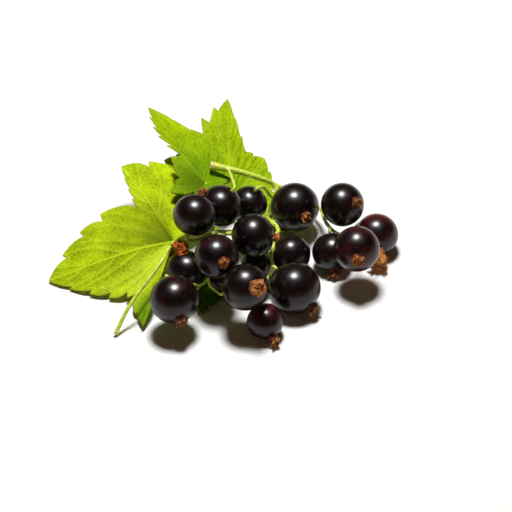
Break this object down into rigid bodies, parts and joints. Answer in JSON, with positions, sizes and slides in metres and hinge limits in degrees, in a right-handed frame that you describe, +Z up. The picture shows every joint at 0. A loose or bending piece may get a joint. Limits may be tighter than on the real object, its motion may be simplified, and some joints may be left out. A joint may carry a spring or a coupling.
{
  "type": "blackcurrant sprig",
  "caption": "Sprig of ripe blackcurrants lying on its side: glossy dark berries with dried flower ends on a thin forked stalk, with lobed toothed leaves beneath.",
  "frame": {"origin": "centre of the bounding box's footprint, on the surface that the sprig lies on", "axes": "+X along the longest extent, from the left leaf towards the right-hand berries; +Y away from the picture's viewer, towards the back leaves; +Z up"},
  "size_m": [0.0794, 0.0762, 0.0245],
  "materials": {
    "berry_skin": "smooth waxy near-black skin with a dark red cast, glossy",
    "dried_flower": "dry shrivelled brown sepals, matt",
    "stalk": "fresh yellow-green stalk, satin",
    "leaf": "fresh bright green leaf with raised veins, satin"
  },
  "bodies": {
    "root": {"fruit_stalk": "stalk", "berry_01": "berry_skin", "dried_flower_01": "dried_flower", "berry_02": "berry_skin", "dried_flower_02": "dried_flower", "berry_03": "berry_skin", "dried_flower_03": "dried_flower", "berry_04": "berry_skin", "dried_flower_04": "dried_flower", "berry_05": "berry_skin", "dried_flower_05": "dried_flower", "berry_06": "berry_skin", "dried_flower_06": "dried_flower", "berry_07": "berry_skin", "dried_flower_07": "dried_flower", "berry_08": "berry_skin", "dried_flower_08": "dried_flower", "berry_09": "berry_skin", "dried_flower_09": "dried_flower", "berry_10": "berry_skin", "dried_flower_10": "dried_flower", "berry_11": "berry_skin", "dried_flower_11": "dried_flower", "berry_12": "berry_skin", "dried_flower_12": "dried_flower", "berry_13": "berry_skin", "dried_flower_13": "dried_flower", "berry_14": "berry_skin", "dried_flower_14": "dried_flower", "berry_15": "berry_skin", "dried_flower_15": "dried_flower", "berry_16": "berry_skin", "dried_flower_16": "dried_flower", "berry_17": "berry_skin", "dried_flower_17": "dried_flower", "berry_18": "berry_skin", "dried_flower_18": "dried_flower", "leaf_left": "leaf", "leaf_back_left": "leaf", "leaf_back_right": "leaf", "leaf_under": "leaf"}
  },
  "joints": []
}
